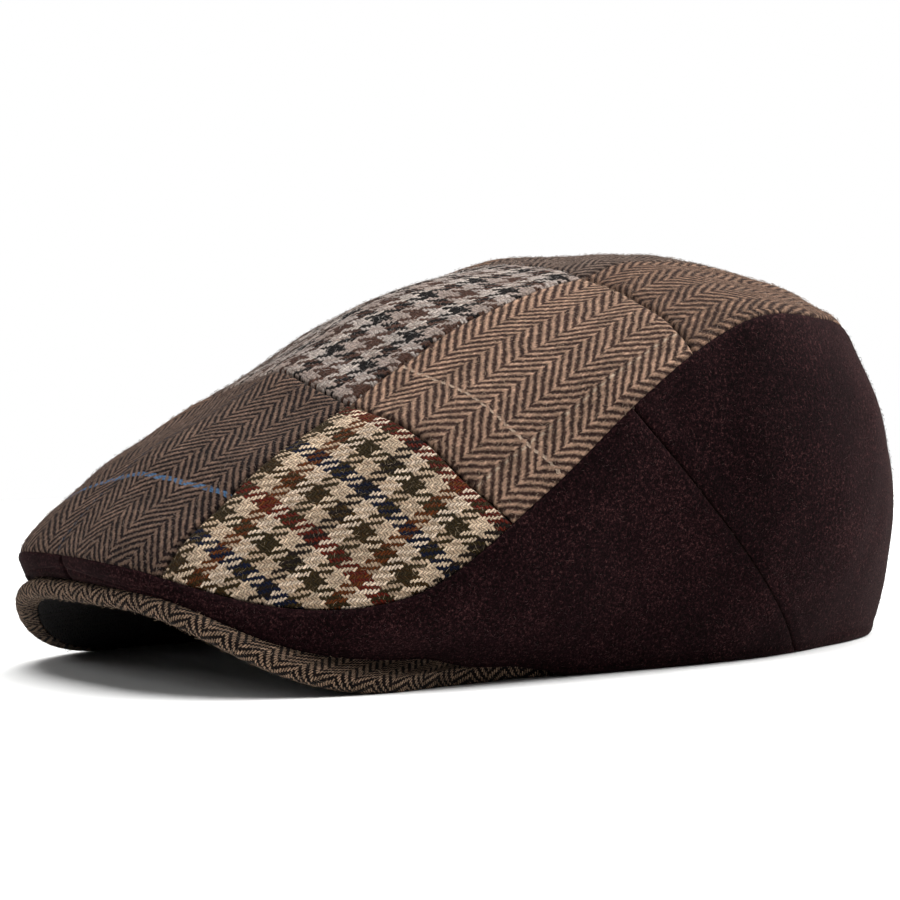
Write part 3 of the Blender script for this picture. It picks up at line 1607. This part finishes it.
@dataclass
class Peak:
    """The peak: tweed drawn over a thin board, rolled round its front edge, with a facing below."""

    form: PeakForm
    steps: int = 160
    rings: int = 26
    roll_steps: int = 12
    cloth: float = 1.1
    tuck: float = 3.5
    tuck_steps: int = 5
    facing_gap: float = 0.2
    facing_rise: float = 0.1
    facing_wall: float = 0.25
    nap: WoolNap = WoolNap(0.36)
    nap_seed: int = 60

    def frames(self) -> tuple[Array, Array, Array]:
        """Gives the lines across the peak.

        Returns:
            Their shares along the peak, their lengths, and their directions seen from above.
        """
        along = np.linspace(-self.form.end_share, self.form.end_share, self.steps + 1)
        inner = np.stack(self.form.plan(along, 0 * along), -1)
        outer = np.stack(self.form.plan(along, 0 * along + 1), -1)
        width = np.linalg.norm(outer - inner, axis=-1)
        return along, width, (outer - inner) / width[:, None]

    def sheet(self, path: list[tuple[float, float, float]]) -> Array:
        """Follows a path across the peak at every step along it.

        Args:
            path: for each of its points, how far back from the outer edge it starts, how far out
                from there it lies and how deep, all in millimetres.

        Returns:
            A grid of points.
        """
        along, width, aim = self.frames()
        thin = 1 - self.form.end_thinning * smooth_step(*self.form.run_in, np.abs(along))
        grid = []
        for back, out, depth in path:
            x, y = self.form.plan(along, np.clip(1 - back / width, 0, 1))
            base = np.stack([x, y, self.form.top_at(x, y)], -1)
            normal = self.form.normal_at(x, y)
            push = np.concatenate([aim, np.zeros((len(aim), 1))], 1)
            push -= normal * (push * normal).sum(-1, keepdims=True)
            push /= np.linalg.norm(push, axis=-1, keepdims=True)
            grid.append(base + (push * out - normal * depth) * thin[:, None])
        return np.stack(grid)

    def closed(self, name: str, outer: Array, inner: Array, flat: Array, seed: int | None = None):
        """Closes a sheet into a wall that stands clear of the table.

        Args:
            name: the piece's name.
            outer: its grid of outer points, in millimetres.
            inner: its grid of inner points.
            flat: the cloth coordinates of the points.
            seed: of its loose fibres, or None for none.

        Returns:
            The piece.
        """
        keep_above(outer, CLEAR_OF_TABLE)
        keep_above(inner, 2 * CLEAR_OF_TABLE)
        piece = shell_object(name, outer, inner, flat)
        if seed is not None:
            self.nap.grow(piece, outer, inner, seed)
        return piece

    def build_cover(self) -> bpy.types.Object:
        """Builds the cover: over the top, round the rolled edge and a little way back below.

        Returns:
            The cover.
        """
        radius = self.form.roll_depth / 2
        top = np.linspace(float(self.frames()[1].max()), radius, self.rings)
        angles = np.linspace(0, math.pi, self.roll_steps + 1)[1:]
        under = np.linspace(radius, radius + self.tuck, self.tuck_steps)[1:]
        sides = []
        for deep in (0.0, self.cloth):
            bend = radius - deep
            run = [(float(b), 0.0, deep) for b in top]
            run += [(radius, bend * math.sin(t), deep + bend * (1 - math.cos(t))) for t in angles]
            run += [(float(b), 0.0, 2 * radius - deep) for b in under]
            sides.append(self.sheet(run))
        outer, inner = sides
        along = np.broadcast_to(arc_lengths(outer, 1)[self.rings - 1], outer.shape[:2])
        flat = np.stack([along, arc_lengths(outer, 0)], -1)
        return self.closed("peak_tweed_cover", outer, inner, flat, self.nap_seed)

    def build_facing(self) -> bpy.types.Object:
        """Builds the facing: the cloth under the peak, sewn in just behind the rolled edge.

        Returns:
            The facing.
        """
        radius = self.form.roll_depth / 2
        edge = radius + self.tuck + self.facing_gap
        runs = np.linspace(float(self.frames()[1].max()), edge, self.rings)
        depths = (2 * radius - self.facing_rise, self.cloth + self.facing_wall)
        outer, inner = (self.sheet([(float(b), 0.0, deep) for b in runs]) for deep in depths)
        flat = np.stack([arc_lengths(outer, 1), arc_lengths(outer, 0)], -1)
        return self.closed("peak_tweed_facing", outer, inner, flat)

    def build(self) -> list[bpy.types.Object]:
        """Builds and dresses the cover and the facing.

        Returns:
            Both pieces.
        """
        cover, facing = self.build_cover(), self.build_facing()
        tweed = PEAK_TWEED.material()
        hair = self.nap.hair_material(PEAK_TWEED.name, PEAK_TWEED.hair)
        dress(cover, "peak_tweed", "peak_cover", tweed, hair)
        dress(facing, "peak_tweed", "peak_facing", FACING_TWEED.material())
        return [cover, facing]


@dataclass(frozen=True)
class Softbox:
    """A square soft light, in metres and watts."""

    name: str
    place: tuple[float, float, float]
    size: float
    power: float


@dataclass(frozen=True)
class Studio:
    """The pale table, the soft lights and the camera, in metres and degrees."""

    azimuth: float = 59.0
    elevation: float = 4.2
    roll: float = -1.5
    distance: float = 1.6
    pixels_per_mm: float = 3.35
    frame_px: float = 900.0
    target: tuple[float, float, float] = (0.0, -0.0005, 0.055)
    target_px: tuple[float, float] = (447.25, 467.28)
    sensor_mm: float = 36.0
    aim_height: float = 0.05
    table_radius: float = 0.62
    table_corners: int = 96
    fill: float = 0.09
    lights: tuple[Softbox, ...] = (
        Softbox("overhead_softbox", (0.0, 0.0, 1.25), 1.3, 32.0),
        Softbox("rear_softbox", (0.32, 1.1, 0.85), 0.6, 25.0),
        Softbox("front_softbox", (-0.5, -1.15, 0.85), 0.6, 3.0),
    )

    def camera(self) -> None:
        """Places the camera at the photograph's angle."""
        a, e, r = (math.radians(v) for v in (self.azimuth, self.elevation, self.roll))
        right = Vector((math.cos(a), math.sin(a), 0))
        back = Vector((math.sin(a) * math.cos(e), -math.cos(a) * math.cos(e), math.sin(e)))
        up = back.cross(right)
        tilted_right = right * math.cos(r) + up * math.sin(r)
        tilted_up = up * math.cos(r) - right * math.sin(r)
        scale = self.pixels_per_mm / MM
        centre = Vector(self.target)
        centre += tilted_right * ((self.frame_px / 2 - self.target_px[0]) / scale)
        centre -= tilted_up * ((self.frame_px / 2 - self.target_px[1]) / scale)
        data = bpy.data.cameras.new("camera")
        data.sensor_width = self.sensor_mm
        data.lens = self.pixels_per_mm / MM * self.distance * self.sensor_mm / self.frame_px
        data.clip_end = 20.0
        camera = bpy.data.objects.new("camera", data)
        turned = Matrix((tilted_right, tilted_up, back)).transposed().to_4x4()
        camera.matrix_world = Matrix.Translation(centre + back * self.distance) @ turned
        bpy.context.scene.collection.objects.link(camera)
        bpy.context.scene.camera = camera

    def light(self, box: Softbox) -> None:
        """Adds one softbox that points at the cap.

        Args:
            box: the softbox.
        """
        data = bpy.data.lights.new(box.name, "AREA")
        data.shape = "SQUARE"
        data.size = box.size
        data.energy = box.power
        lamp = bpy.data.objects.new(box.name, data)
        lamp.location = box.place
        aim = Vector(box.place) - Vector((0, 0, self.aim_height))
        lamp.rotation_euler = aim.to_track_quat("Z", "Y").to_euler()
        bpy.context.scene.collection.objects.link(lamp)

    def table(self) -> None:
        """Adds the plain round white table."""
        mesh = bpy.data.meshes.new("table")
        corners = range(self.table_corners)
        turns = [2 * math.pi * k / self.table_corners for k in corners]
        rim = [(self.table_radius * math.cos(t), self.table_radius * math.sin(t), 0) for t in turns]
        mesh.from_pydata(rim, [], [list(corners)])
        table = bpy.data.objects.new("table", mesh)
        bpy.context.scene.collection.objects.link(table)
        paint = bpy.data.materials.new("matt white laminate")
        paint.use_nodes = True
        shader = paint.node_tree.nodes["Principled BSDF"]
        shader.inputs["Base Color"].default_value = linear("#f9f9f8")
        shader.inputs["Roughness"].default_value = 0.7
        mesh.materials.append(paint)

    def world(self) -> None:
        """Sets a white backdrop that adds only a weak fill light."""
        world = bpy.data.worlds.new("studio")
        world.use_nodes = True
        tree = world.node_tree
        tree.nodes.clear()
        ray = add(tree, "ShaderNodeLightPath", out=0)
        strength = add(tree, MAP_RANGE, ray, 0.0, 1.0, self.fill, 1.0)
        light = add(tree, "ShaderNodeBackground", (1.0, 1.0, 1.0, 1.0), strength)
        add(tree, "ShaderNodeOutputWorld", light)
        bpy.context.scene.world = world

    def build(self) -> None:
        """Sets the stage."""
        self.table()
        self.world()
        for box in self.lights:
            self.light(box)
        self.camera()
        # The plain transform, so that the cloth keeps the colours it is given
        bpy.context.scene.view_settings.view_transform = "Standard"


def main() -> None:
    """Builds the cap, piece by piece, and its studio."""
    logging.basicConfig(level=logging.INFO, format="%(name)s: %(message)s")
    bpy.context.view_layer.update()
    form = CrownForm()
    waves = Undulation()
    PatchworkTop(form, waves).build()
    WoolSides(form, waves).build()
    Peak(form.peak).build()
    Studio().build()


if __name__ == "__main__":
    main()
